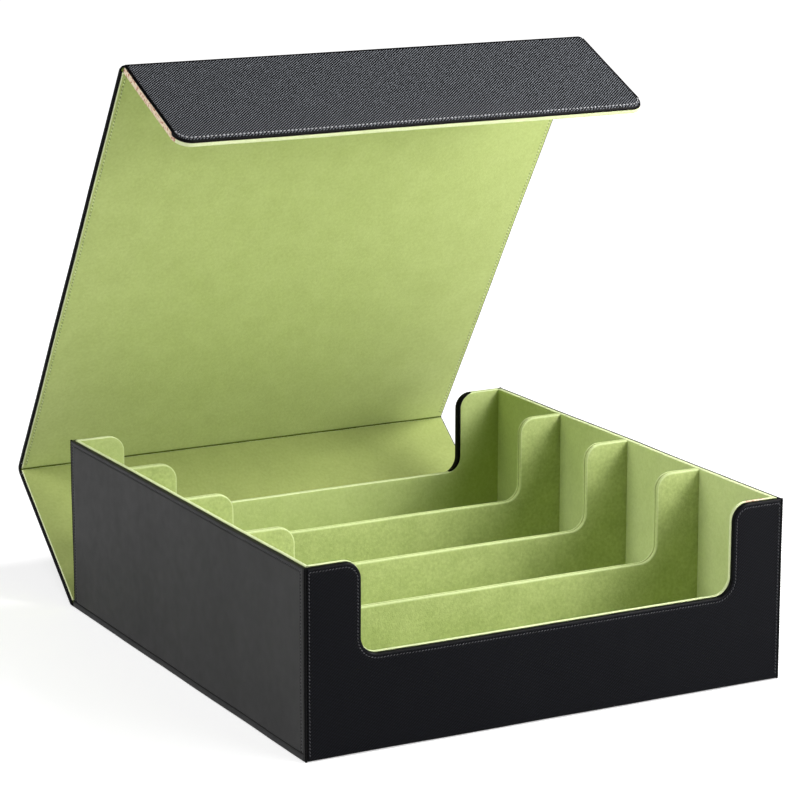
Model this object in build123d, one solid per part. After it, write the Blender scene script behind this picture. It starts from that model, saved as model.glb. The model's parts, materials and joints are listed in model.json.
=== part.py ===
from build123d import *

import os

# A storage box for cards in stiff clear sleeves: a tray of padded rows, with a wrapped cover that
# goes from the base up the back, over the top and down the front. The cover stands half open.
# Left and right run along X, the front faces -Y, up is +Z, and the origin is the middle of the
# underside, on the table. Sizes are in millimetres and angles in degrees.

# What the rows hold
sleeve_width = 76.2
sleeve_height = 101.6
sleeve_play = 1.55
sleeve_headroom = 1.4
row_count = 4
row_length = 308.0

# Layers of a wrapped panel, from the outside in
skin_thickness = 1.0
board_thickness = 3.0
lining_thickness = 1.0

# Padded dividers
divider_board_thickness = 3.4
divider_pad_thickness = 0.8
divider_edge_pad = 1.6
divider_edge_radius = 2.0

# Finger cut-out, the same in the front wall, the dividers and the rear wall
cut_tab_width = 35.5
cut_depth = 55.0
cut_tab_radius = 10.5
cut_corner_radius = 11.0

# Corner piping
piping_radius = 0.9
piping_gap = 0.1

# How the closed cover clears the tray, and the front skin the table
cover_back_clearance = 1.0
cover_top_clearance = 1.5
cover_front_clearance = 2.0
skirt_lift = 0.4

# Cover
flap_length = 84.0
flap_corner_radius = 10.0
board_setback = 2.0
crease_clearance = 0.1

# How far each crease is bent as the cover stands
back_bend_angle = 39.0
lid_bend_angle = 84.0
flap_bend_angle = 81.5

# Bar magnets, under the skin of the front wall and under the lining of the flap
magnet_length = 20.0
magnet_width = 10.0
magnet_thickness = 2.0
magnet_spacing = 120.0
magnet_end_inset = 12.0
magnet_clearance = 0.1

# Sizes that follow
panel_thickness = skin_thickness + board_thickness + lining_thickness
divider_thickness = divider_board_thickness + 2 * divider_pad_thickness
row_pitch = sleeve_width + sleeve_play + divider_thickness
rows_depth = row_count * row_pitch - divider_thickness

half_row = row_length / 2
board_half_width = half_row + lining_thickness
skin_half_width = board_half_width + board_thickness
half_width = skin_half_width + skin_thickness

half_rows = rows_depth / 2
board_half_depth = half_rows + lining_thickness
skin_half_depth = board_half_depth + board_thickness
half_depth = skin_half_depth + skin_thickness

base_top = panel_thickness
floor_board_top = base_top + board_thickness
floor_top = floor_board_top + lining_thickness
box_height = floor_top + sleeve_height + sleeve_headroom
board_top = box_height - skin_thickness
cut_half_width = half_width - cut_tab_width
cut_low_height = box_height - cut_depth
corner_pocket = 2 * piping_radius + piping_gap

pivot_depth = half_depth + cover_back_clearance
closed_lid_height = box_height + cover_top_clearance
back_length = closed_lid_height - base_top
lid_length = pivot_depth + half_depth + cover_front_clearance
magnet_reach = flap_length - magnet_end_inset

# Distance within which two points or edges count as the same place
touch = 0.01


def block(x, y, z):
    """A box between pairs of limits along X, Y and Z."""
    limits = (x, y, z)
    middle = [(low + high) / 2 for low, high in limits]
    return Pos(*middle) * Box(*[high - low for low, high in limits])


def between(side, inner, outer):
    """Limits of a layer that lies from inner to outer on the given side of the middle."""
    return tuple(sorted((side * inner, side * outer)))


def polygon(corners, round_corners, radius):
    """A flat face through the corners, with the listed ones rounded."""
    face = make_face(Polyline(*corners, close=True))
    picked = [
        vertex
        for vertex in face.vertices()
        if any(abs(vertex.X - x) + abs(vertex.Y - y) < touch for x, y in round_corners)
    ]
    return fillet(picked, radius) if picked else face


def notched_plate(half_span, low, y, inset=0.0):
    """An upright plate between two depths, with the finger cut-out in its top edge.

    The inset draws its top and the rim of its cut-out in, to leave room for a wrap.
    """
    top = box_height - inset
    cut_half = cut_half_width + inset
    cut_low = cut_low_height - inset
    corners = [
        (-half_span, low),
        (half_span, low),
        (half_span, top),
        (cut_half, top),
        (cut_half, cut_low),
        (-cut_half, cut_low),
        (-cut_half, top),
        (-half_span, top),
    ]
    tabs = [(-cut_half, top), (cut_half, top)]
    face = polygon(corners, tabs, cut_tab_radius - inset)
    lows = [
        vertex
        for vertex in face.vertices()
        if abs(abs(vertex.X) - cut_half) + abs(vertex.Y - cut_low) < touch
    ]
    face = fillet(lows, cut_corner_radius + inset)
    return extrude(Plane.XZ.offset(-y[1]) * face, y[1] - y[0])


def seat_magnets(nodes, board, place):
    """Cuts two pockets in the named board, left and right of the place, and adds the magnets."""
    size = (magnet_length, magnet_width)
    pocket = Box(*[length + 2 * magnet_clearance for length in size], magnet_thickness)
    for name, side in (("left", -1), ("right", 1)):
        seat = place * Pos(side * magnet_spacing / 2, 0, 0)
        nodes[f"{board}_board"] -= seat * pocket
        nodes[f"{board}_magnet_{name}"] = seat * Box(*size, magnet_thickness)


def base_nodes():
    """The bottom panel of the cover, which the tray is glued to."""
    whole = (-half_width, half_width)
    inside = (-skin_half_width, skin_half_width)
    front = -skin_half_depth
    span = (front, pivot_depth - crease_clearance)
    board_top_level = skin_thickness + board_thickness
    wrap = block(whole, span, (0, board_top_level))
    hollow = block(inside, span, (skin_thickness, board_top_level))
    board_span = (front, pivot_depth - board_setback)
    return {
        "base_skin": wrap - hollow,
        "base_board": block(inside, board_span, (skin_thickness, board_top_level)),
        "base_lining": block(whole, span, (board_top_level, base_top)),
    }


def floor_nodes():
    """The stiff floor of the tray and the suede on it."""
    board_x = (-board_half_width, board_half_width)
    board_y = (-board_half_depth, board_half_depth)
    return {
        "floor_board": block(board_x, board_y, (base_top, floor_board_top)),
        "floor_lining": block(
            (-half_row, half_row), (-half_rows, half_rows), (floor_board_top, floor_top)
        ),
    }


def side_wall_nodes(name, side):
    """A plain side wall: a board, skin over its outside and top, and a lining inside."""
    length = (-half_depth + corner_pocket, half_depth - corner_pocket)
    core = block(between(side, board_half_width, skin_half_width), length, (base_top, board_top))
    wrap = block(between(side, board_half_width, half_width), length, (base_top, box_height))
    lining = block(
        between(side, half_row, board_half_width),
        (-board_half_depth, board_half_depth),
        (floor_board_top, box_height),
    )
    return {
        f"{name}_wall_skin": wrap - core,
        f"{name}_wall_board": core,
        f"{name}_wall_lining": lining,
    }


def end_wall_nodes(name, side):
    """The front or rear wall: a board, skin over its outside and rim, and a lining inside."""
    core = between(side, board_half_depth, skin_half_depth)
    outside = between(side, skin_half_depth, half_depth)
    board = notched_plate(board_half_width, base_top, core, skin_thickness)
    rim = notched_plate(board_half_width, base_top, core) - board
    sheet = notched_plate(half_width - corner_pocket, base_top, outside)
    return {
        f"{name}_wall_skin": sheet + rim,
        f"{name}_wall_board": board,
        f"{name}_wall_lining": notched_plate(
            half_row, floor_board_top, between(side, half_rows, board_half_depth)
        ),
    }


def front_wall_nodes():
    """The front wall, whose skin goes down over the edge of the base, with its magnets."""
    nodes = end_wall_nodes("front", -1)
    edge = between(-1, skin_half_depth, half_depth)
    nodes["front_wall_skin"] += block((-half_width, half_width), edge, (skirt_lift, base_top))
    depth = -skin_half_depth + magnet_thickness / 2
    seat_magnets(nodes, "front_wall", Pos(0, depth, closed_lid_height - magnet_reach) * Rot(90, 0, 0))
    return nodes


def divider_nodes():
    """The padded dividers: a stiff board in a suede cover with a soft round rim."""
    core = between(1, -divider_board_thickness / 2, divider_board_thickness / 2)
    whole = between(1, -divider_thickness / 2, divider_thickness / 2)
    board = notched_plate(half_row, floor_top, core, divider_edge_pad)
    cover = notched_plate(half_row, floor_top, whole)
    rim = [
        edge
        for edge in cover.faces().filter_by(Axis.Y).edges()
        if edge.center().Z > floor_top + touch and abs(edge.center().X) < half_row - touch
    ]
    cover = fillet(rim, divider_edge_radius) - board
    nodes = {}
    for number in range(1, row_count):
        place = Pos(0, (number - row_count / 2) * row_pitch, 0)
        nodes[f"divider_{number}_board"] = place * board
        nodes[f"divider_{number}_cover"] = place * cover
    return nodes


def piping_nodes():
    """The round piping sewn down each upright corner of the tray."""
    piping = Cylinder(piping_radius, box_height - base_top)
    x = half_width - piping_radius
    y = half_depth - piping_radius
    z = (base_top + box_height) / 2
    return {
        "front_left_piping": Pos(-x, -y, z) * piping,
        "front_right_piping": Pos(x, -y, z) * piping,
        "rear_left_piping": Pos(-x, y, z) * piping,
        "rear_right_piping": Pos(x, y, z) * piping,
    }


def panel_sheet(half_span, near, far, z, corner_radius):
    """A flat sheet of a cover panel. A corner radius rounds its far corners."""
    corners = [(-half_span, near), (half_span, near), (half_span, far), (-half_span, far)]
    face = polygon(corners, corners[2:] if corner_radius else [], corner_radius)
    return Pos(0, 0, z[0]) * extrude(face, z[1] - z[0])


def panel_nodes(name, length, free_end):
    """A cover panel lying flat, its inner face up at z = 0, from its crease out along +Y.

    It reaches the next crease, or has a closed free end with round corners.
    """
    end_skin = skin_thickness if free_end else 0.0
    far = length if free_end else length - crease_clearance
    board_far = length - skin_thickness if free_end else length - board_setback
    radius = flap_corner_radius if free_end else 0.0
    board_z = (-lining_thickness - board_thickness, -lining_thickness)
    wrap = panel_sheet(half_width, crease_clearance, far, (-panel_thickness, board_z[1]), radius)
    hollow = panel_sheet(skin_half_width, 0, length - end_skin, board_z, radius - end_skin)
    board = panel_sheet(skin_half_width, board_setback, board_far, board_z, radius - end_skin)
    return {
        f"{name}_skin": wrap - hollow,
        f"{name}_board": board,
        f"{name}_lining": panel_sheet(half_width, crease_clearance, far, (board_z[1], 0), radius),
    }


def crease_nodes(name, bend):
    """The skin and the lining round a crease, bent up from a panel that lies flat before it."""

    def strip(inner, outer):
        section = Pos(0, (inner + outer) / 2) * Rectangle(2 * half_width, outer - inner)
        return Rot(-90, 0, 0) * revolve(section, Axis.X, bend)

    return {
        f"{name}_crease_skin": strip(panel_thickness - skin_thickness, panel_thickness),
        f"{name}_crease_lining": strip(0, lining_thickness),
    }


def cover_nodes():
    """The cover as it stands, each panel carried on from the last by its crease."""
    panels = {
        "back": panel_nodes("back", back_length, free_end=False),
        "lid": panel_nodes("lid", lid_length, free_end=False),
        "flap": panel_nodes("flap", flap_length, free_end=True),
    }
    seat_magnets(
        panels["flap"], "flap", Pos(0, magnet_reach, -lining_thickness - magnet_thickness / 2)
    )
    nodes = {}
    place = Pos(0, pivot_depth, base_top)
    for name, length, bend in (
        ("back", back_length, back_bend_angle),
        ("lid", lid_length, lid_bend_angle),
        ("flap", flap_length, flap_bend_angle),
    ):
        creases = crease_nodes(name, bend)
        nodes.update({node: place * solid for node, solid in creases.items()})
        place = place * Rot(bend, 0, 0)
        nodes.update({node: place * solid for node, solid in panels[name].items()})
        place = place * Pos(0, length, 0)
    return nodes


parts = {
    **base_nodes(),
    **floor_nodes(),
    **side_wall_nodes("left", -1),
    **side_wall_nodes("right", 1),
    **front_wall_nodes(),
    **end_wall_nodes("rear", 1),
    **divider_nodes(),
    **piping_nodes(),
    **cover_nodes(),
}

os.makedirs("parts", exist_ok=True)
for node, solid in parts.items():
    export_step(solid, f"parts/{node}.step")
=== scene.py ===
import json
import math

import bmesh
import bpy
from mathutils import Matrix, Vector, noise


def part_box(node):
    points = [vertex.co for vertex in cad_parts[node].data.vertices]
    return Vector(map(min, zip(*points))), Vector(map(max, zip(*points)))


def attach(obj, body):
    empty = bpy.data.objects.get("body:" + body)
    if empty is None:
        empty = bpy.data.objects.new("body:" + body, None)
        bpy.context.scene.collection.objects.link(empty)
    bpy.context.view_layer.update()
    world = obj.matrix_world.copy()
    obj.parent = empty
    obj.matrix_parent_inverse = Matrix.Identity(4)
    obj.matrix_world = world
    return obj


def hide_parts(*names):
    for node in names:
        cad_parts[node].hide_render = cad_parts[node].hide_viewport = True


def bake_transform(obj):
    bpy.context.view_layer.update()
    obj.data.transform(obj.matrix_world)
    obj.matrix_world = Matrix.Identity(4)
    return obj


# A hinged storage box for sleeved cards, dressed over its CAD frame. Sizes here are in metres.
# Each wall, divider and cover panel is a sheet whose edge is rolled round the board inside it.
# A sheet is drawn flat: u runs across it, v up or along it, and depth goes from its face inwards.

MM = 0.001

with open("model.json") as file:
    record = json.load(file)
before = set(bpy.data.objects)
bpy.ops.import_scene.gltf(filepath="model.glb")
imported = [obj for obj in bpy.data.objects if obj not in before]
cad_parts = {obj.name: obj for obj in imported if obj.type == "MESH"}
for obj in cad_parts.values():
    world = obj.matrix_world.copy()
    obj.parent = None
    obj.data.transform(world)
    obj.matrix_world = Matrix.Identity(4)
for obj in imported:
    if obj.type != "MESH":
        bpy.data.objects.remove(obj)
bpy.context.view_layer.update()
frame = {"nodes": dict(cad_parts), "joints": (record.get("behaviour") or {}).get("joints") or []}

# Sizes taken from the frame

tray_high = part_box("front_wall_skin")[1]
rear_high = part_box("rear_wall_skin")[1]
base_low, base_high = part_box("base_lining")
floor_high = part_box("floor_lining")[1]
row_half = floor_high.x
rows_half = floor_high.y
wall_top = tray_high.z
half_width = base_high.x
half_depth = rear_high.y
base_top = base_high.z
side_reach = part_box("left_wall_skin")[1].y
front_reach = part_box("rear_wall_skin")[1].x

# The finger cut-out of the end walls and dividers

cut_half = 123.5 * MM
cut_low = 57.0 * MM
cut_tab_radius = 10.5 * MM
cut_corner_radius = 11.0 * MM

# Panels

panel_thickness = 5.0 * MM
divider_thickness = 5.0 * MM
flap_length = 84.0 * MM
flap_corner_radius = 10.0 * MM
base_corner_radius = 2.6 * MM

# Depths from its face at which the edge of a skin or a hem ends, and how much further the
# lining of the flap goes at its sides

skin_wrap = 2.3 * MM
hem_wrap = 2.6 * MM
rear_hem_wrap = 3.5 * MM
flap_side_wrap = 1.7 * MM

# How far hems and skins stand out from the plain edges of their panels, or stay back from them

end_hem_rise = 0.7 * MM
notch_hem_rise = 0.1 * MM
rear_top_rise = 0.1 * MM
rear_right_setback = 1.0 * MM
rear_left_reach = 0.15 * MM
left_hem_rise = 0.25 * MM
right_hem_rise = 0.1 * MM
rear_skin_proud = 0.8 * MM
right_skin_drop = 0.05 * MM
cover_proud = 1.2 * MM
skirt_lift = 0.4 * MM

# Radii of rolled edges, and of corners in the flat

skin_roll = 1.3 * MM
side_skin_roll = 1.0 * MM
hem_roll = 0.7 * MM
cover_hem_roll = 0.9 * MM
skin_corner = 1.0 * MM
hem_corner = 0.3 * MM
least_corner = 0.15 * MM

# How far sheets go on into the pieces beside them

end_skin_overlap = 0.4 * MM
side_skin_overlap = 0.3 * MM
hem_overlap = 1.2 * MM
divider_overlap = 0.8 * MM
floor_overlap = 1.0 * MM

# Parts of a sheet with a material of their own: depths from its face, and widths from its edge

# rim_depth and cover_rim_depth are where the painted highlight on the linings' rolled rims begins.
rim_depth = 0.08 * MM
end_trim_depth = 0.15 * MM
side_trim_depth = 0.6 * MM
cover_trim_depth = 0.4 * MM
cover_rim_depth = 0.06 * MM
plain_band = 1.9 * MM

# The skin's pale cut edge: its stretch along the front wall's right tab, and its place on the flap

worn_from, worn_to = 133 * MM, 147 * MM
worn_depth = 1.4 * MM
flap_cut_depth = 0.3 * MM
flap_cut_width = 0.6 * MM

# Piping and seams

piping_radius = 0.9 * MM
stitch_inset = 2.5 * MM
side_stitch_inset = 3.2 * MM
lining_stitch_inset = 2.7 * MM
lining_groove = 0.18 * MM
stitch_pitch = 2.0 * MM
sewn_kinds = ("sewn", "close", "tight")

# Steps of the meshes, and the seed of their waves, which Blender takes from the clock otherwise

sample_step = stitch_pitch / 4
cell_size = 9.0 * MM
noise_seed = 1

# The cover's lining stands out at its sides. It ends short of each crease, where a strip of it
# lies deeper. The tables give how deep each lining's wrap goes, how much the seam pinches each
# panel's edge, and how far each skin stands out at its sides.

lining_margin = -0.3 * MM
crease_margin = 0.5 * MM
crease_sink = 0.8 * MM
lining_wraps = {"back": 1.0 * MM, "lid": 1.0 * MM, "flap": 2.8 * MM}
pinches = {"back": 0.05 * MM, "lid": 0.05 * MM, "flap": 0.35 * MM}
prouds = {"tray": 0.0, "back": cover_proud, "lid": cover_proud, "flap": 0.0}

# The floor, and how much it adds to what the camera sees near the box and far from it

floor_reach = 6.0
floor_drop = 0.2 * MM
floor_colour = (0.8, 0.8, 0.8)
near_glow, far_glow = 0.50, 1.0
near_distance, far_distance = 0.5, 1.6
world_light = 0.03

# Softboxes: name, size, power, azimuth, elevation and distance from the point that they face

lamp_target = Vector((0, 0, 0.15))
softboxes = (
    ("right_softbox", 0.5, 22, 78, 42, 2.0),
    ("near_right_softbox", 0.3, 2.8, 67, 50, 1.0),
    ("near_front_softbox", 0.4, 4.6, 45, 25, 1.0),
    ("front_softbox", 0.9, 13.5, 28, 8, 2.0),
    ("high_front_softbox", 0.9, 5, 20, 25, 2.0),
    ("left_softbox", 0.9, 12.5, 292, 54, 2.0),
    ("rear_left_softbox", 0.9, 16, 255, 30, 2.0),
)

# The camera, solved from the corners of the box in the photograph

camera_azimuth = -28.18
camera_elevation = 13.12
camera_distance = 1.907
camera_target = Vector((-9.5, 0, 156.1)) * MM
camera_lens = 140.3
camera_sensor = 36


def joint(name):
    return next(j for j in frame["joints"] if j["name"] == name)


def tilt(degrees):
    return math.radians(degrees)


back_pivot = Vector(joint("back_hinge")["pos_m"])
lid_pivot = Vector(joint("lid_hinge")["pos_m"])
flap_pivot = Vector(joint("flap_hinge")["pos_m"])
back_tilt = tilt(-joint("back_hinge")["range_deg"][0])
lid_tilt = back_tilt + tilt(-joint("lid_hinge")["range_deg"][0])
flap_tilt = lid_tilt + tilt(-joint("flap_hinge")["range_deg"][0])
back_length = (lid_pivot - back_pivot).length
lid_length = (flap_pivot - lid_pivot).length


# Materials

class Shader:
    """A node material with a Principled shader, and short calls that add nodes to it."""

    def __init__(self, name, roughness, specular=0.5, sheen=0.0, coordinates="Object"):
        self.material = bpy.data.materials.new(name)
        self.material.use_nodes = True
        self.nodes = self.material.node_tree.nodes
        self.links = self.material.node_tree.links
        self.surface = self.nodes["Principled BSDF"]
        self.surface.inputs["Roughness"].default_value = roughness
        self.surface.inputs["Specular IOR Level"].default_value = specular
        self.surface.inputs["Sheen Weight"].default_value = sheen
        self.place = self.nodes.new("ShaderNodeTexCoord").outputs[coordinates]

    def add(self, kind, inputs=(), **settings):
        made = self.nodes.new("ShaderNode" + kind)
        for key, value in settings.items():
            setattr(made, key, value)
        for key, value in dict(inputs).items():
            if isinstance(value, bpy.types.NodeSocket):
                self.links.new(value, made.inputs[key])
            else:
                made.inputs[key].default_value = value
        return made

    def math(self, operation, *values):
        made = self.add("Math", enumerate(values), operation=operation)
        return made.outputs[0]

    def noise(self, size, detail=2.0, place=None):
        """Noise from 0 to 1 whose blotches are about size metres across."""
        inputs = {"Vector": place or self.place, "Scale": 1 / size, "Detail": detail}
        return self.add("TexNoise", inputs).outputs["Fac"]

    def mapped(self, value, low, high):
        """A 0 to 1 value stretched to run from low to high."""
        inputs = {"Value": value, "To Min": low, "To Max": high}
        return self.add("MapRange", inputs).outputs["Result"]

    def colours(self, value, *stops):
        """A colour ramp through (position, colour) stops."""
        ramp = self.add("ValToRGB", {"Fac": value})
        elements = ramp.color_ramp.elements
        while len(elements) < len(stops):
            elements.new(0.5)
        for element, (position, colour) in zip(elements, stops):
            element.position = position
            element.color = (*colour, 1)
        return ramp.outputs["Color"]

    def colour(self, socket):
        self.links.new(socket, self.surface.inputs["Base Color"])

    def rough(self, socket):
        self.links.new(socket, self.surface.inputs["Roughness"])

    def bump(self, height, distance, below=None):
        """Bump from a 0 to 1 height over a real distance, on top of an earlier bump."""
        inputs = {"Height": height, "Distance": distance, "Strength": 1.0}
        if below:
            inputs["Normal"] = below
        made = self.add("Bump", inputs).outputs["Normal"]
        self.links.new(made, self.surface.inputs["Normal"])
        return made


def twill_skin(name, depth, ridge_glint, groove, specular, roughness):
    """Black leather-like skin embossed with fine diagonal ribs broken into grains, its ridges
    coloured lighter as a painted highlight for their glints.
    """
    rib_pitch = 1.35 * MM
    grain_pitch = 2.3 * MM
    rib_angle = 40
    s = Shader(name, roughness=roughness, specular=specular, coordinates="UV")
    turned = s.add("Mapping", {"Vector": s.place, "Rotation": (0, 0, tilt(-rib_angle))})
    split = s.add("SeparateXYZ", {"Vector": turned.outputs["Vector"]})
    along, across = split.outputs["X"], split.outputs["Y"]
    bend = s.math("MULTIPLY", s.noise(9 * MM), 0.25 * MM)
    rib = s.math("SINE", s.math("MULTIPLY", s.math("ADD", across, bend), 2 * math.pi / rib_pitch))
    shifted = s.math("ADD", along, s.math("MULTIPLY", across, 0.5))
    grain = s.math("SINE", s.math("MULTIPLY", shifted, 2 * math.pi / grain_pitch))
    height = s.math("ADD", s.math("MULTIPLY", rib, 0.41), s.math("MULTIPLY", grain, 0.09))
    height = s.math("ADD", height, 0.5)
    # Painted highlight: the ridges are coloured lighter in place of the glints of light on the
    # ribs.
    s.colour(s.colours(height, (0.62, groove), (0.88, ridge_glint)))
    s.rough(s.mapped(s.noise(14 * MM, 3), roughness - 0.07, roughness + 0.07))
    soft = s.bump(s.noise(45 * MM, 1), 0.9 * MM)
    s.bump(height, depth, soft)
    return s.material


def smooth_skin(name, colour, roughness, specular):
    """The same skin where it shows no ribs: satin, with a very fine grain."""
    s = Shader(name, roughness=roughness, specular=specular)
    darker = tuple(c * 0.8 for c in colour)
    s.colour(s.colours(s.noise(30 * MM, 3), (0.35, darker), (0.65, colour)))
    s.rough(s.mapped(s.noise(8 * MM, 3), roughness - 0.06, roughness + 0.08))
    soft = s.bump(s.noise(50 * MM, 1), 0.9 * MM)
    s.bump(s.noise(0.5 * MM, 2), 0.03 * MM, soft)
    return s.material


def suede(name, light, dark, sheen=0.25):
    """Soft mottled microfibre with a short nap."""
    s = Shader(name, roughness=0.95, specular=0.15, sheen=sheen)
    s.surface.inputs["Sheen Roughness"].default_value = 0.5
    s.surface.inputs["Sheen Tint"].default_value = (0.9, 1.0, 0.65, 1)
    patches = s.math("MULTIPLY", s.noise(16 * MM, 4), 0.4)
    flecks = s.math("MULTIPLY", s.noise(1.8 * MM, 3), 0.6)
    s.colour(s.colours(s.math("ADD", patches, flecks), (0.34, dark), (0.66, light)))
    soft = s.bump(s.noise(30 * MM, 2), 0.25 * MM)
    s.bump(s.noise(0.8 * MM, 4), 0.16 * MM, soft)
    return s.material


def thread(name, light, dark):
    """Twisted sewing thread."""
    s = Shader(name, roughness=0.45, specular=0.5)
    s.colour(s.colours(s.noise(0.8 * MM), (0.3, dark), (0.7, light)))
    s.bump(s.noise(0.3 * MM), 0.08 * MM)
    return s.material


def backing(name):
    """The pale woven back of the skin, where its cut edge shows."""
    s = Shader(name, roughness=0.9, specular=0.2)
    cream, peach, red = (0.78, 0.68, 0.50), (0.72, 0.52, 0.38), (0.42, 0.16, 0.10)
    s.colour(s.colours(s.noise(1.5 * MM, 2), (0.36, red), (0.44, peach), (0.55, cream)))
    s.bump(s.noise(0.5 * MM, 3), 0.15 * MM)
    return s.material


def fibreboard(name):
    """The stiff board inside the panels."""
    s = Shader(name, roughness=0.85, specular=0.2)
    s.colour(s.colours(s.noise(0.8 * MM, 4), (0.3, (0.22, 0.16, 0.10)), (0.7, (0.34, 0.26, 0.17))))
    s.bump(s.noise(0.6 * MM, 4), 0.05 * MM)
    return s.material


def plated_metal(name):
    """Nickel plating, for the magnets."""
    s = Shader(name, roughness=0.25)
    s.surface.inputs["Metallic"].default_value = 1.0
    s.colour(s.colours(s.noise(3 * MM, 3), (0.3, (0.55, 0.55, 0.53)), (0.7, (0.7, 0.7, 0.68))))
    s.rough(s.mapped(s.noise(1 * MM, 3), 0.2, 0.35))
    return s.material


# The ridge colours of both skins are painted highlights for the glints of their ribs; the groove
# colours are the skin's black.
front_skin = twill_skin(
    "front_skin", 0.10 * MM, (0.0075, 0.0085, 0.013), (0.001, 0.001, 0.0015), 0.06, 0.4
)
cover_skin = twill_skin(
    "cover_skin", 0.24 * MM, (0.185, 0.195, 0.215), (0.001, 0.001, 0.001), 0.06, 0.5
)
side_skin = smooth_skin("side_skin", (0.020, 0.020, 0.0205), 0.45, 0.36)
# The dark skin of the rolled edges and piping, also used as painted shade in the side walls' seam
# grooves.
trim_and_groove_shade_skin = smooth_skin("trim_and_groove_shade_skin", (0.002, 0.002, 0.0025), 0.40, 0.08)
lining = suede("lining", (0.525, 0.605, 0.25), (0.445, 0.525, 0.20))
# Painted light: the side walls' lining is the same suede, coloured lighter because those walls are
# better lit.
lit_wall_suede = suede("lit_wall_suede", (0.63, 0.715, 0.34), (0.545, 0.63, 0.275), 0.5)
# Painted light and shade: the lid's and flap's lining is a lighter copy of the same suede, the back
# panel's a darker one, as the lid is better lit and the back lies in shade.
lid_suede = suede("lid_suede", (0.565, 0.655, 0.25), (0.485, 0.57, 0.20))
back_suede = suede("back_suede", (0.395, 0.455, 0.155), (0.33, 0.385, 0.125))
divider_suede = suede("divider_suede", (0.51, 0.59, 0.235), (0.38, 0.455, 0.16))
# Painted highlight on the dividers' rolled rims, and below it painted shade in the seam between
# their halves.
divider_edge_highlight = suede("divider_edge_highlight", (0.60, 0.68, 0.33), (0.51, 0.59, 0.27))
# Painted highlight: the rolled rims of the tray's linings are coloured lighter where they catch the
# light.
edge_highlight_suede = suede("edge_highlight_suede", (0.71, 0.78, 0.45), (0.61, 0.69, 0.37))
seam_shade_suede = suede("seam_shade_suede", (0.34, 0.40, 0.14), (0.26, 0.32, 0.10))
# Painted highlight: the rolled rims of the cover's linings are coloured paler where they catch the
# light.
cover_edge_highlight_suede = suede("cover_edge_highlight_suede", (0.82, 0.88, 0.55), (0.72, 0.79, 0.44))
# Painted shade: the lining's strip deep in each crease is coloured dark green where the crease lies
# in shade.
crease_shade_suede = suede("crease_shade_suede", (0.15, 0.20, 0.03), (0.10, 0.14, 0.018), 0.0)
front_thread = thread("front_thread", (0.06, 0.06, 0.07), (0.012, 0.012, 0.013))
# Painted highlight: the side and flap threads are lighter copies of the dark thread, coloured where
# their glints show.
side_thread_glint = thread("side_thread_glint", (0.13, 0.13, 0.14), (0.04, 0.04, 0.04))
flap_thread_glint = thread("flap_thread_glint", (0.50, 0.50, 0.52), (0.24, 0.24, 0.25))
hem_thread = thread("hem_thread", (0.38, 0.46, 0.16), (0.28, 0.35, 0.11))
pale_backing = backing("pale_backing")
board = fibreboard("board")
metal = plated_metal("metal")
# The cover's linings are the painted lit and shaded copies of one suede.
cover_suedes = {"back": back_suede, "lid": lid_suede, "flap": lid_suede}

# Stitches: material, slot, pitch, length, width, lift and slant in degrees

front_stitches = (front_thread, "skin", 2.0 * MM, 1.4 * MM, 0.60 * MM, 0.08 * MM, 22)
# The side and flap stitches use the threads with painted glints.
side_stitches = (side_thread_glint, "skin", 2.0 * MM, 1.1 * MM, 0.60 * MM, -0.10 * MM, 0)
flap_stitches = (flap_thread_glint, "skin", 2.6 * MM, 1.6 * MM, 0.90 * MM, 0.20 * MM, 16)
seam_stitches = (front_thread, "skin", 2.6 * MM, 1.6 * MM, 0.60 * MM, 0.05 * MM, 10)
hem_stitches = (hem_thread, "lining", 2.7 * MM, 1.8 * MM, 0.80 * MM, 0.0, 35)


# Meshes

noise.seed_set(noise_seed)


def unsteady(point):
    """Where a hand-made surface really is: a fraction of a millimetre off, in slow waves."""
    slow = noise.noise_vector(point / (75 * MM)) * 0.28 * MM
    quick = noise.noise_vector(point / (17 * MM)) * 0.07 * MM
    return point + slow + quick


def new_object(name, points, faces, uvs, material, body):
    """A smooth piece from points, faces and a flat coordinate for each point."""
    built = bmesh.new()
    vertices = [built.verts.new(point) for point in points]
    flat = built.loops.layers.uv.new("flat")
    for numbers in faces:
        face = built.faces.new([vertices[n] for n in numbers])
        face.smooth = True
        for loop, n in zip(face.loops, numbers):
            loop[flat].uv = uvs[n]
    return mesh_object(name, built, material, body)


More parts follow.
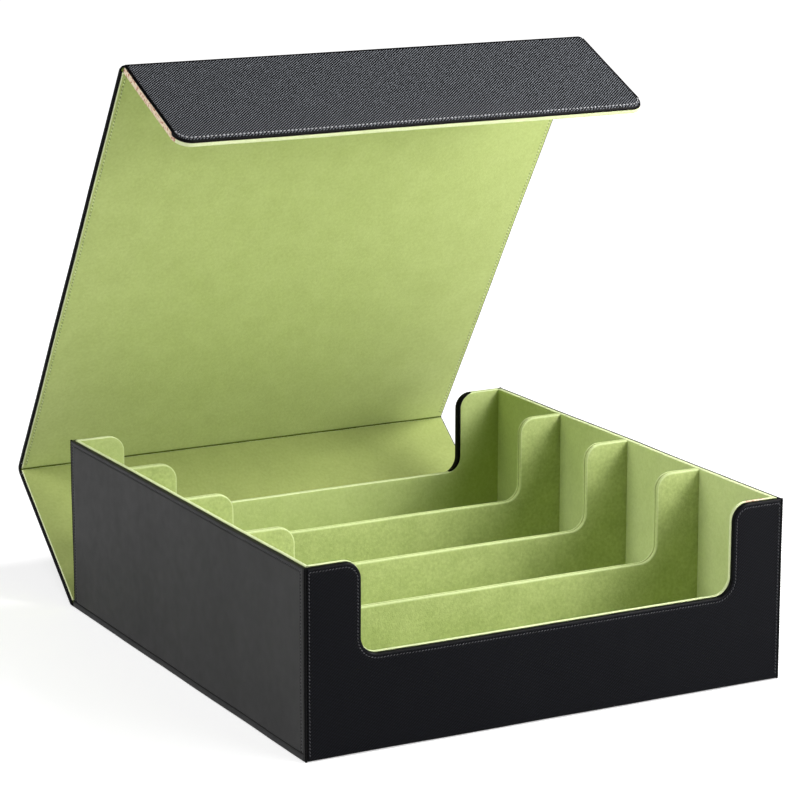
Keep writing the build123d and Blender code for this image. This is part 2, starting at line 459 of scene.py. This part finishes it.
class Sheet:
    """A flat outline of square corners, each with a radius, that can be drawn in edge by edge.

    corners are (u, v, radius) going round anticlockwise, and kinds name the edge after each one:
    sewn edges are rolled and have a seam, close and tight edges have it nearer, plain edges are
    only rolled, and open edges just end.
    """

    shares = {"sewn": 1.0, "close": 0.75, "tight": 0.55, "plain": 1.0, "open": 0.0}

    def __init__(self, corners, kinds, place):
        self.corners = corners
        self.kinds = kinds
        self.place = place

    def ring(self, inset):
        """Points (u, v, kind) round the outline with its rolled edges drawn in."""
        count = len(self.corners)
        edges = []
        for i, (u, v, _) in enumerate(self.corners):
            after = self.corners[(i + 1) % count]
            run = Vector((after[0] - u, after[1] - v))
            edges.append((run.length, run.normalized(), inset * self.shares[self.kinds[i]]))
        turned = []
        for i, (u, v, radius) in enumerate(self.corners):
            _, before, inset_before = edges[i - 1]
            _, after, inset_after = edges[i]
            inward = Vector((-before.y, before.x)) * inset_before
            inward += Vector((-after.y, after.x)) * inset_after
            corner = Vector((u, v)) + inward
            shift = -1 if before.cross(after) > 0 else 1
            radius_now = max(radius + shift * min(inset_before, inset_after), least_corner)
            turned.append((corner, before, after, radius_now))
        points = []
        for i, (corner, before, after, radius) in enumerate(turned):
            kind = self.kinds[i]
            kinds_here = (kind, self.kinds[i - 1])
            corner_kind = next(k for k in ("open", "plain", "sewn", "close") if k in kinds_here)
            centre = corner - before * radius + after * radius
            steps = 2 + math.ceil(self.corners[i][2] * math.pi / 2 / sample_step)
            for k in range(steps + 1):
                angle = math.pi / 2 * k / steps
                point = centre - after * radius * math.cos(angle)
                point += before * radius * math.sin(angle)
                points.append((point.x, point.y, corner_kind))
            end = corner + after * radius
            next_corner, _, _, next_radius = turned[(i + 1) % count]
            stop = next_corner - after * next_radius
            steps = max(1, round(edges[i][0] / sample_step))
            for k in range(1, steps):
                point = end.lerp(stop, k / steps)
                points.append((point.x, point.y, kind))
        return points

    def at(self, u, v, depth):
        return unsteady(self.place(u, v, depth))


def divided(built, face):
    """Cut a large flat face into cells, so that it can follow the waves of the surface."""
    parts = [face, *face.edges, *face.verts]
    corners = [vertex.co.copy() for vertex in face.verts]
    for axis in (0, 1):
        low = min(corner[axis] for corner in corners)
        high = max(corner[axis] for corner in corners)
        cells = math.ceil((high - low) / cell_size)
        for k in range(1, cells):
            through, across = Vector(), Vector()
            through[axis] = low + (high - low) * k / cells
            across[axis] = 1
            cut = bmesh.ops.bisect_plane(
                built, geom=parts, dist=0.001 * MM, plane_co=through, plane_no=across
            )
            parts = cut["geom"]


def wrapped(name, sheet, profile, material, body, patches=(), close_wrap=0.0):
    """A sheet whose edge follows a profile of (inset, depth, groove) from its face outwards.

    patches are pairs of a material and a rule that tells, from a point's u, v and depth, where
    it shows. close_wrap is how much further the wrap goes on close edges.
    """
    built = bmesh.new()
    rings = []
    wrap_end = profile[-1][1] - 0.2 * MM
    kinds = [kind for _, _, kind in sheet.ring(0.0)]
    for inset, depth, groove in profile:
        ring = []
        travelled = 0.0
        last = None
        for u, v, kind in sheet.ring(inset):
            if last:
                travelled += math.hypot(u - last[0], v - last[1])
            last = (u, v)
            pucker = 0.75 + 0.25 * math.cos(2 * math.pi * travelled / stitch_pitch)
            sunk = groove * pucker if kind in sewn_kinds else 0.0
            if kind == "close" and depth > wrap_end:
                sunk += close_wrap
            ring.append(built.verts.new((u, v, depth + sunk)))
        rings.append(ring)
    face = built.faces.new(rings[0])
    for ring, outer in zip(rings, rings[1:]):
        for k in range(len(ring)):
            if not kinds[k] == kinds[k - 1] == "open":
                built.faces.new((ring[k], ring[k - 1], outer[k - 1], outer[k]))
    divided(built, face)
    flat = built.loops.layers.uv.new("flat")
    for part in built.faces:
        part.smooth = True
        spot = part.calc_center_median()
        for number, (_, covers) in enumerate(patches, 1):
            if covers(*spot):
                part.material_index = number
        for loop in part.loops:
            loop[flat].uv = loop.vert.co.xy
    for vertex in built.verts:
        vertex.co = sheet.at(*vertex.co)
    bmesh.ops.recalc_face_normals(built, faces=built.faces)
    piece = mesh_object(name, built, material, body)
    for patch_material, _ in patches:
        piece.data.materials.append(patch_material)
    return piece


def deeper(depth):
    """The rule of a patch that covers a sheet's rolled edge, from a depth below its face."""
    return lambda u, v, d: d > depth


def mesh_object(name, built, material, body):
    """A piece from a finished bmesh."""
    mesh = bpy.data.meshes.new(name)
    built.to_mesh(mesh)
    built.free()
    mesh.materials.append(material)
    piece = bpy.data.objects.new(name, mesh)
    bpy.context.scene.collection.objects.link(piece)
    if body:
        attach(piece, body)
    return piece


def roll(radius, steps=5):
    """Profile of an edge rolled over from the face, as (inset, depth, groove)."""
    made = []
    for k in range(steps + 1):
        angle = math.pi / 2 * k / steps
        made.append((radius * (1 - math.sin(angle)), radius * (1 - math.cos(angle)), 0.0))
    return made


def seamed(radius, wrap, inset=stitch_inset, groove=0.25 * MM, pinch=0.0, seam_half=0.6 * MM):
    """Profile with a sewn groove in its face and a rolled edge that the seam pinches thinner."""
    line = [(inset + 2 * MM, 0.0, 0.0), (inset + seam_half, 0.0, 0.0), (inset, 0.0, groove)]
    line.append((inset - seam_half, pinch / 2, 0.0))
    edge = [(i, d + pinch, g) for i, d, g in roll(radius)]
    return line + edge + [(0.0, wrap - 0.15 * MM, 0.0), (0.4 * MM, wrap, 0.0)]


def hemmed(radius, wrap):
    """Profile of a lining: a plain face with a small rolled edge."""
    face = [(radius + 3 * MM, 0.0, 0.0)] + roll(radius, 4)
    return face + [(0.0, wrap - 0.1 * MM, 0.0), (0.35 * MM, wrap, 0.0)]


def stitches(name, sheet, inset, thread, body, kinds=sewn_kinds):
    """A row of sewn threads round the rolled edges of a sheet, each a small sunken capsule.

    thread gives the material, the slot, which is not used, and the stitches' pitch, length, width,
    lift and slant.
    """
    material, slot, pitch, length, width, lift, slant = thread
    rounds = 6
    sections = [(-0.5, 0.35), (-0.38, 0.85), (0.0, 1.0), (0.38, 0.85), (0.5, 0.35)]
    fewest_points = 5
    points, uvs, faces = [], [], []
    runs = [[]]
    for u, v, kind in sheet.ring(inset):
        if kind in kinds:
            runs[-1].append(Vector((u, v)))
        else:
            runs.append([])
    for run in runs:
        if len(run) < fewest_points:
            continue
        spots = []
        due = pitch / 2
        travelled = 0.0
        for a, b in zip(run, run[1:]):
            step = (b - a).length
            while step > 0 and travelled + step >= due:
                spots.append((a.lerp(b, (due - travelled) / step), (b - a).normalized()))
                due += pitch
            travelled += step
        for spot, heading in spots:
            heading = Matrix.Rotation(tilt(slant), 2) @ heading
            aside = Vector((-heading.y, heading.x))
            base = len(points)
            for share, swell in sections:
                for k in range(rounds):
                    angle = 2 * math.pi * k / rounds
                    flat = spot + heading * share * length
                    flat += aside * math.cos(angle) * width / 2 * swell
                    height = math.sin(angle) * width / 2 * swell + lift
                    points.append(sheet.at(flat.x, flat.y, -height))
                    uvs.append((flat.x, flat.y))
            for s in range(len(sections) - 1):
                for k in range(rounds):
                    a = base + s * rounds + k
                    b = base + s * rounds + (k + 1) % rounds
                    faces.append([a, b, b + rounds, a + rounds])
            faces.append([base + k for k in reversed(range(rounds))])
            last = base + (len(sections) - 1) * rounds
            faces.append([last + k for k in range(rounds)])
    return new_object(name, points, faces, uvs, material, body)


# The tray

def notched_corners(half, low, outer_radius, foot="open", rises=(0.0, 0.0, 0.0, 0.0)):
    """Corners of a wall or divider with the finger cut-out, and the kinds of its edges.

    rises are how far its sill, its tops and the two sides of its cut-out reach into the open.
    """
    sill, top = cut_low + rises[0], wall_top + rises[1]
    plus, minus = cut_half - rises[2], cut_half - rises[3]
    corners = [
        (-half, low, 0.0),
        (half, low, 0.0),
        (half, top, outer_radius),
        (plus, top, cut_tab_radius),
        (plus, sill, cut_corner_radius),
        (-minus, sill, cut_corner_radius),
        (-minus, top, cut_tab_radius),
        (-half, top, outer_radius),
    ]
    kinds = [foot, "tight"] + ["sewn"] * 5 + ["tight"]
    return corners, kinds


def plain_corners(u, v, radius):
    """Corners of a rectangle, round at its far side, and the kinds of its edges."""
    corners = [(u[0], v[0], 0.0), (u[1], v[0], 0.0), (u[1], v[1], radius), (u[0], v[1], radius)]
    return corners, ["open", "sewn", "close", "sewn"]


def end_wall(name, side, skin_low, foot, skin_edge, hem_reach, skin_rises, hem_rises):
    """The front wall, with side -1, or the rear wall, with side 1, its skin and its hem."""
    outer_face = side * half_depth
    inner_face = side * rows_half
    outside = Sheet(
        *notched_corners(
            front_reach + end_skin_overlap, skin_low, skin_corner, foot, skin_rises
        ),
        lambda u, v, d: Vector((-side * u, outer_face - side * d, v)),
    )
    inside_corners = notched_corners(
        row_half + hem_overlap, floor_high.z - floor_overlap, hem_corner, rises=hem_rises
    )
    inside = Sheet(
        *inside_corners, lambda u, v, d: Vector((side * u, inner_face + side * d, v))
    )
    trim = [(trim_and_groove_shade_skin, deeper(end_trim_depth))]
    skin = wrapped(f"{name}_skin", outside, skin_edge, front_skin, "tray", trim)
    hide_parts(f"{name}_wall_skin")

    def cut_edge(u, v, depth):
        worn = worn_from < side * u < worn_to
        return side < 0 and worn and v > wall_top and depth > worn_depth

    edge = hemmed(hem_roll, hem_reach)
    # Painted highlight on the hem's rolled rim, and the skin's real pale cut edge.
    patches = [(edge_highlight_suede, deeper(rim_depth)), (pale_backing, cut_edge)]
    hem = wrapped(f"{name}_lining", inside, edge, lining, "tray", patches)
    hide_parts(f"{name}_wall_lining")
    stitches(f"{name}_stitches", outside, stitch_inset, front_stitches, "tray")


def side_wall(name, side, hem_rise, skin_drop):
    """The left wall, with side -1, or the right wall, with side 1.

    hem_rise is how far its hem rises, and skin_drop how far its skin stays below the rim.
    """
    skin_top = wall_top - skin_drop
    skin_half = side_reach + side_skin_overlap
    hem_half = rows_half + hem_overlap
    outer_face = side * half_width
    inner_face = side * row_half
    outside = Sheet(
        *plain_corners((-skin_half, skin_half), (base_top, skin_top), skin_corner),
        lambda u, v, d: Vector((outer_face - side * d, side * u, v)),
    )
    inside = Sheet(
        *plain_corners(
            (-hem_half, hem_half), (floor_high.z - floor_overlap, wall_top + hem_rise), hem_corner
        ),
        lambda u, v, d: Vector((inner_face + side * d, -side * u, v)),
    )

    # Painted shade: the seam's groove is given the dark trim skin in place of the shade inside it.
    def seam(u, v, depth):
        from_edge = min(side_reach - abs(u), skin_top - v)
        return depth > 0.05 * MM and from_edge > 1.6 * MM

    edge = seamed(side_skin_roll, skin_wrap, side_stitch_inset, 0.4 * MM, seam_half=0.4 * MM)
    trim = [(trim_and_groove_shade_skin, deeper(side_trim_depth)), (trim_and_groove_shade_skin, seam)]
    skin = wrapped(f"{name}_skin", outside, edge, side_skin, "tray", trim)
    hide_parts(f"{name}_wall_skin")
    # Painted highlight on the hem's rolled rim.
    rim = [(edge_highlight_suede, deeper(rim_depth))]
    edge = hemmed(hem_roll, hem_wrap)
    # The hem's face is the lighter, painted-light copy of the lining.
    hem = wrapped(f"{name}_lining", inside, edge, lit_wall_suede, "tray", rim)
    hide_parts(f"{name}_wall_lining")
    stitches(f"{name}_stitches", outside, side_stitch_inset, side_stitches, "tray")


def padded_divider(number):
    """A divider: two suede faces sewn together round a padded board."""
    low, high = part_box(f"divider_{number}_cover")
    middle = (low.y + high.y) / 2
    half = divider_thickness / 2
    halves = []
    for side in (-1, 1):
        sheet = Sheet(
            *notched_corners(row_half + divider_overlap, floor_high.z, hem_corner),
            lambda u, v, d, side=side: Vector(
                (-side * u, middle + side * (half - d), v)
            ),
        )
        profile = [(6 * MM, 0.0, 0.0), (3.2 * MM, 0.05 * MM, 0.0)]
        profile += [(i + 0.1 * MM, d + 0.1 * MM, g) for i, d, g in roll(0.9 * MM, 6)]
        profile += [(0.0, 1.5 * MM, 0.0), (0.12 * MM, half - 0.4 * MM, 0.0)]
        profile += [(0.4 * MM, half - 0.15 * MM, 0.0), (1.2 * MM, half, 0.0)]
        # Painted highlight on the rolled rims, and painted shade in the seam where the two halves
        # meet.
        patches = [(divider_edge_highlight, deeper(0.1 * MM)), (seam_shade_suede, deeper(half - 0.3 * MM))]
        name = f"divider_{number}_half"
        halves.append(
            wrapped(name, sheet, profile, divider_suede, "tray", patches)
        )
    cover = joined(f"divider_{number}_suede", halves)
    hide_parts(f"divider_{number}_cover")


def joined(name, pieces):
    """One piece made of several that ride on the same body."""
    first, rest = pieces[0], pieces[1:]
    built = bmesh.new()
    for piece in pieces:
        built.from_mesh(piece.data)
    mesh = first.data
    built.to_mesh(mesh)
    built.free()
    for piece in rest:
        bpy.data.objects.remove(piece)
    first.name = name
    return first


def corner_piping(name, x, y):
    """The thin corded piping in a corner of the tray, with the folded skin behind it."""
    across, rings = 12, 260
    cord_pitch, cord_depth = 1.7 * MM, 0.07 * MM
    low, high = skirt_lift, wall_top - 0.1 * MM
    cap_rise, cap_swell = 0.25 * MM, 0.6
    centre = Vector((x * (half_width - piping_radius), y * (half_depth - piping_radius), 0))
    points, uvs, faces = [], [], []
    levels = [(low + (high - low) * k / rings, 1.0) for k in range(rings + 1)]
    levels.append((high + cap_rise, cap_swell))
    for z, swell in levels:
        radius = (piping_radius - cord_depth) * swell
        radius += cord_depth * math.cos(2 * math.pi * z / cord_pitch) * swell
        for k in range(across):
            angle = 2 * math.pi * k / across
            out = Vector((math.cos(angle), math.sin(angle), 0)) * radius
            points.append(unsteady(centre + out + Vector((0, 0, z))))
            uvs.append((piping_radius * angle, z))
    for r in range(len(levels) - 1):
        for k in range(across):
            a, b = r * across + k, r * across + (k + 1) % across
            faces.append([a, b, b + across, a + across])
    faces.append([(len(levels) - 1) * across + k for k in range(across)])
    near, far = 1.9 * MM, 4.6 * MM
    base = len(points)
    for z in (low, high - 0.9 * MM):
        for dx, dy in ((near, near), (far, near), (far, far), (near, far)):
            points.append(Vector((x * (half_width - dx), y * (half_depth - dy), z)))
            uvs.append((dx, z))
    for k in range(4):
        after = (k + 1) % 4
        faces.append([base + k, base + after, base + 4 + after, base + 4 + k])
    faces.append([base + 4 + k for k in range(4)])
    piping = new_object(f"{name}_welt", points, faces, uvs, trim_and_groove_shade_skin, "tray")
    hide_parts(f"{name}_piping")


def tray_floor():
    """The suede on the floor of the tray."""
    sheet = Sheet(
        *plain_corners((-row_half, row_half), (-rows_half, rows_half), hem_corner),
        lambda u, v, d: Vector((u, v, floor_high.z - d)),
    )
    profile = [(4 * MM, 0.0, 0.0), (0.3 * MM, 0.0, 0.0)]
    profile += [(0.0, 0.3 * MM, 0.0), (0.0, 0.9 * MM, 0.0)]
    floor = wrapped("floor_suede", sheet, profile, lining, "tray")
    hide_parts("floor_lining")


# The cover

def base_panel():
    """The bottom panel, seen as a band under the side walls."""
    corners = [
        (-half_width, base_low.y, base_corner_radius),
        (half_width, base_low.y, base_corner_radius),
        (half_width, back_pivot.y, 0.0),
        (-half_width, back_pivot.y, 0.0),
    ]
    sheet = Sheet(
        corners, ["plain", "plain", "open", "plain"], lambda u, v, d: Vector((-u, v, d))
    )
    profile = [(6 * MM, 0.0, 0.0), (3 * MM, 0.0, 0.0)] + roll(1.2 * MM)
    profile.append((0.0, base_top - 1.1 * MM, 0.0))
    profile.append((0.2 * MM, base_top - 0.7 * MM, 0.0))
    profile.append((1.2 * MM, base_top - 0.5 * MM, 0.0))
    skin = wrapped("base_wrap", sheet, profile, side_skin, "tray")
    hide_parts("base_skin", "base_lining")


def on_panel(pivot, angle, x, along, height):
    """A point of a cover panel: x across, along it from its crease, height above its inner face."""
    forward = Vector((0, math.cos(angle), math.sin(angle)))
    inward = Vector((0, -math.sin(angle), math.cos(angle)))
    return pivot + Vector((x, 0, 0)) + forward * along + inward * height


def cover_skin_profile(name, **changes):
    """Profile of a cover panel's skin, which ends where the wrap of its lining begins."""
    wrap = panel_thickness - lining_wraps[name]
    return seamed(skin_roll, wrap, pinch=pinches[name], **changes)


def cover_panel(name, body, pivot, angle, length, free_end):
    """A cover panel: skin outside and lining inside, each with its sewn edge."""
    corner = flap_corner_radius if free_end else 0.0
    far = "sewn" if free_end else "open"
    skin_half = half_width + prouds[name]
    corners = [
        (-skin_half, 0.0, 0.0),
        (skin_half, 0.0, 0.0),
        (skin_half, length, corner),
        (-skin_half, length, corner),
    ]
    kinds = ["open", "close", far, "close"]
    soft_kinds = ["plain", "close", far if free_end else "plain", "close"]
    end = length if free_end else length - crease_margin
    soft_corners = [
        (-half_width, crease_margin, 0.0),
        (half_width, crease_margin, 0.0),
        (half_width, end, corner),
        (-half_width, end, corner),
    ]
    inside = Sheet(soft_corners, soft_kinds, lambda u, v, d: on_panel(pivot, angle, u, v, -d))
    outside = Sheet(
        corners, kinds, lambda u, v, d: on_panel(pivot, angle, -u, v, d - panel_thickness)
    )
    skin_profile = cover_skin_profile(name)
    further = flap_side_wrap if free_end else 0.0

    def sewn_band(u, v, depth):
        return depth > cover_trim_depth or abs(u) > skin_half - plain_band

    trim = [(trim_and_groove_shade_skin, sewn_band)]
    skin = wrapped(
        f"{name}_wrap", outside, skin_profile, cover_skin, body, trim, -further
    )
    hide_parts(f"{name}_skin")

    def cut_edge(u, v, depth):
        at_side = abs(u) > half_width - flap_cut_width
        return free_end and depth > flap_cut_depth and at_side

    sewn_through = name != "back"
    hem_profile = lining_profile(lining_wraps[name], lining_groove if sewn_through else 0.0)
    # Painted highlight on the lining's rolled rim, and the skin's real pale cut edge at the flap's
    # sides.
    patches = [(cover_edge_highlight_suede, deeper(cover_rim_depth)), (pale_backing, cut_edge)]
    suede_here = cover_suedes[name]
    sheet = wrapped(
        f"{name}_suede", inside, hem_profile, suede_here, body, patches, further
    )
    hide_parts(f"{name}_lining")
    if free_end:
        stitches(f"{name}_end_stitches", outside, stitch_inset, flap_stitches, body, ("sewn",))
    stitches(f"{name}_stitches", outside, stitch_inset, seam_stitches, body, ("close",))
    if sewn_through:
        stitches(f"{name}_hem_stitches", inside, lining_stitch_inset, hem_stitches, body)


def lining_profile(wrap, groove=lining_groove):
    """Profile of the cover's lining: a sewn groove, a small rolled edge and its thickness."""
    inset = lining_stitch_inset
    line = [(inset + 2 * MM, 0.0, 0.0), (inset + 0.5 * MM, 0.0, 0.0), (inset, 0.0, groove)]
    line.append((inset - 0.5 * MM, 0.0, 0.0))
    edge = [(i + lining_margin, d, g) for i, d, g in roll(cover_hem_roll, 4)]
    return line + edge + [(lining_margin, wrap, 0.0)]


def crease(name, pivot, before, after, profile, inner, material, nodes, proud):
    """A strip bent round a crease, of the same section as the panels that it joins.

    before and after are the tilts of the panels, inner tells the lining from the skin, and
    proud is how far each panel's skin stands out at its sides.
    """
    section = []
    for inset, depth, _ in profile:
        radius = depth + crease_sink if inner else panel_thickness - depth
        section.append((half_width - inset, radius))
    whole = [(-x, r) for x, r in reversed(section)] + section
    steps = 24
    points, uvs, faces = [], [], []
    for k in range(steps + 1):
        angle = before + (after - before) * k / steps
        outward = Vector((0, math.sin(angle), -math.cos(angle)))
        wide = 0.0 if inner else proud[0] + (proud[1] - proud[0]) * k / steps
        for x, r in whole:
            x = math.copysign(abs(x) + wide, x)
            points.append(unsteady(pivot + Vector((x, 0, 0)) + outward * r))
            uvs.append((x, r * angle))
    count = len(whole)
    for k in range(steps):
        for j in range(count - 1):
            a = k * count + j
            faces.append([a, a + 1, a + 1 + count, a + count])
    piece = new_object(name, points, faces, uvs, material, None)
    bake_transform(piece)
    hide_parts(*nodes)


def cover():
    """The back panel, the lid and the flap, and the creases before each."""
    bends = (
        ("back", ("tray", "back_panel"), back_pivot, 0.0, back_tilt, back_length, False),
        ("lid", ("back_panel", "lid"), lid_pivot, back_tilt, lid_tilt, lid_length, False),
        ("flap", ("lid", "flap"), flap_pivot, lid_tilt, flap_tilt, flap_length, True),
    )
    for name, bodies, pivot, before, after, length, free_end in bends:
        cover_panel(name, bodies[1], pivot, after, length, free_end)
        crease(
            f"{name}_fold",
            pivot,
            before,
            after,
            cover_skin_profile(name, groove=0.0),
            False,
            trim_and_groove_shade_skin,
            [f"{name}_crease_skin"],
            (prouds[bodies[0].split("_")[0]], prouds[name]),
        )
        # The lining's crease strip is coloured with painted shade.
        crease(
            f"{name}_fold_lining",
            pivot,
            before,
            after,
            lining_profile(lining_wraps[name]),
            True,
            crease_shade_suede,
            [f"{name}_crease_lining"],
            (0.0, 0.0),
        )


def dress_hidden_nodes():
    """Materials for the boards and magnets that stay as the frame has them."""
    for name, node in frame["nodes"].items():
        if "magnet" in name:
            node.data.materials.clear()
            node.data.materials.append(metal)
        elif name.endswith("board"):
            node.data.materials.clear()
            node.data.materials.append(board)


# The skin of the front wall ends in its panel. That of the rear wall goes right round and on
# behind its hem. The rises are those of notched_corners, for the skins and the hems.

front_edge = seamed(skin_roll, skin_wrap)
rear_edge = seamed(skin_roll, panel_thickness)[:-2]
rear_edge += [(0.0, 4.2 * MM, 0.0), (0.35 * MM, 4.7 * MM, 0.0), (1.0 * MM, 4.88 * MM, 0.0)]
rear_edge.append((5.5 * MM, 4.88 * MM, 0.0))
front_rises = (end_hem_rise, end_hem_rise, notch_hem_rise, notch_hem_rise)
rear_rises = (end_hem_rise, rear_top_rise, -rear_right_setback, rear_left_reach)
flush = (0.0, 0.0, 0.0, 0.0)
proud_at_right = (0.0, 0.0, 0.0, rear_skin_proud)

end_wall("front", -1, skirt_lift, "plain", front_edge, hem_wrap, flush, front_rises)
end_wall("rear", 1, base_top, "open", rear_edge, rear_hem_wrap, proud_at_right, rear_rises)
side_wall("left", -1, left_hem_rise, 0.0)
side_wall("right", 1, right_hem_rise, right_skin_drop)
for divider_number in (1, 2, 3):
    padded_divider(divider_number)
for end_name, end_y in (("front", -1), ("rear", 1)):
    for side_name, side_x in (("left", -1), ("right", 1)):
        corner_piping(f"{end_name}_{side_name}", side_x, end_y)
tray_floor()
base_panel()
cover()
dress_hidden_nodes()


# Stage, lamps and camera

def white_where_seen(name, colour):
    """A floor that the camera sees as white, darkened only by the object's shadow."""
    s = Shader(name, roughness=0.9, specular=0.1)
    s.surface.inputs["Base Color"].default_value = (*colour, 1)
    distance = s.add("VectorMath", {0: s.place}, operation="LENGTH").outputs["Value"]
    reach = {"Value": distance, "From Min": near_distance, "From Max": far_distance}
    spread = s.add("MapRange", reach)
    level = s.mapped(spread.outputs["Result"], near_glow, far_glow)
    glow = s.add("Emission", {"Color": (1, 1, 1, 1), "Strength": level})
    both = s.add("AddShader", {0: s.surface.outputs[0], 1: glow.outputs[0]})
    path = s.add("LightPath")
    inputs = {0: path.outputs["Is Camera Ray"], 1: s.surface.outputs[0], 2: both.outputs[0]}
    mixed = s.add("MixShader", inputs)
    s.links.new(mixed.outputs[0], s.nodes["Material Output"].inputs["Surface"])
    return s.material


def stage():
    """A white floor and a white world, which light the object at a plain level."""
    mesh = bpy.data.meshes.new("floor")
    reach = floor_reach
    mesh.from_pydata(
        [(-reach, -reach, 0), (reach, -reach, 0), (reach, reach, 0), (-reach, reach, 0)],
        [],
        [(0, 1, 2, 3)],
    )
    mesh.materials.append(white_where_seen("white_floor", floor_colour))
    floor = bpy.data.objects.new("floor", mesh)
    floor.location.z = -floor_drop
    bpy.context.scene.collection.objects.link(floor)
    world = bpy.data.worlds.new("studio")
    world.use_nodes = True
    bpy.context.scene.world = world
    nodes, links = world.node_tree.nodes, world.node_tree.links
    path = nodes.new("ShaderNodeLightPath")
    seen = nodes.new("ShaderNodeMath")
    seen.operation = "MAXIMUM"
    links.new(path.outputs["Is Camera Ray"], seen.inputs[0])
    links.new(path.outputs["Is Transmission Ray"], seen.inputs[1])
    strength = nodes.new("ShaderNodeMapRange")
    strength.inputs["To Min"].default_value = world_light
    strength.inputs["To Max"].default_value = 1.0
    links.new(seen.outputs[0], strength.inputs["Value"])
    links.new(strength.outputs[0], nodes["Background"].inputs["Strength"])
    nodes["Background"].inputs["Color"].default_value = (1, 1, 1, 1)


def softbox(name, size, power, azimuth, elevation, distance):
    """A square area lamp some metres off, at an azimuth counted from the front to the right."""
    turn, rise = tilt(azimuth), tilt(elevation)
    away = Vector(
        (math.sin(turn) * math.cos(rise), -math.cos(turn) * math.cos(rise), math.sin(rise))
    )
    lamp = bpy.data.lights.new(name, "AREA")
    lamp.shape = "SQUARE"
    lamp.size = size
    lamp.energy = power
    box = bpy.data.objects.new(name, lamp)
    box.location = lamp_target + away * distance
    box.rotation_mode = "QUATERNION"
    box.rotation_quaternion = (-away).to_track_quat("-Z", "Y")
    bpy.context.scene.collection.objects.link(box)


def camera():
    """The photograph's view, from the front and to the left, a little above the box."""
    azimuth, elevation = tilt(camera_azimuth), tilt(camera_elevation)
    away = Vector(
        (
            math.sin(azimuth) * math.cos(elevation),
            -math.cos(azimuth) * math.cos(elevation),
            math.sin(elevation),
        )
    )
    data = bpy.data.cameras.new("camera")
    data.lens = camera_lens
    data.sensor_width = camera_sensor
    view = bpy.data.objects.new("camera", data)
    view.location = camera_target + away * camera_distance
    view.rotation_mode = "QUATERNION"
    view.rotation_quaternion = (-away).to_track_quat("-Z", "Y")
    bpy.context.scene.collection.objects.link(view)
    bpy.context.scene.camera = view


stage()
for lamp_settings in softboxes:
    softbox(*lamp_settings)
camera()
bpy.context.scene.view_settings.view_transform = "Standard"
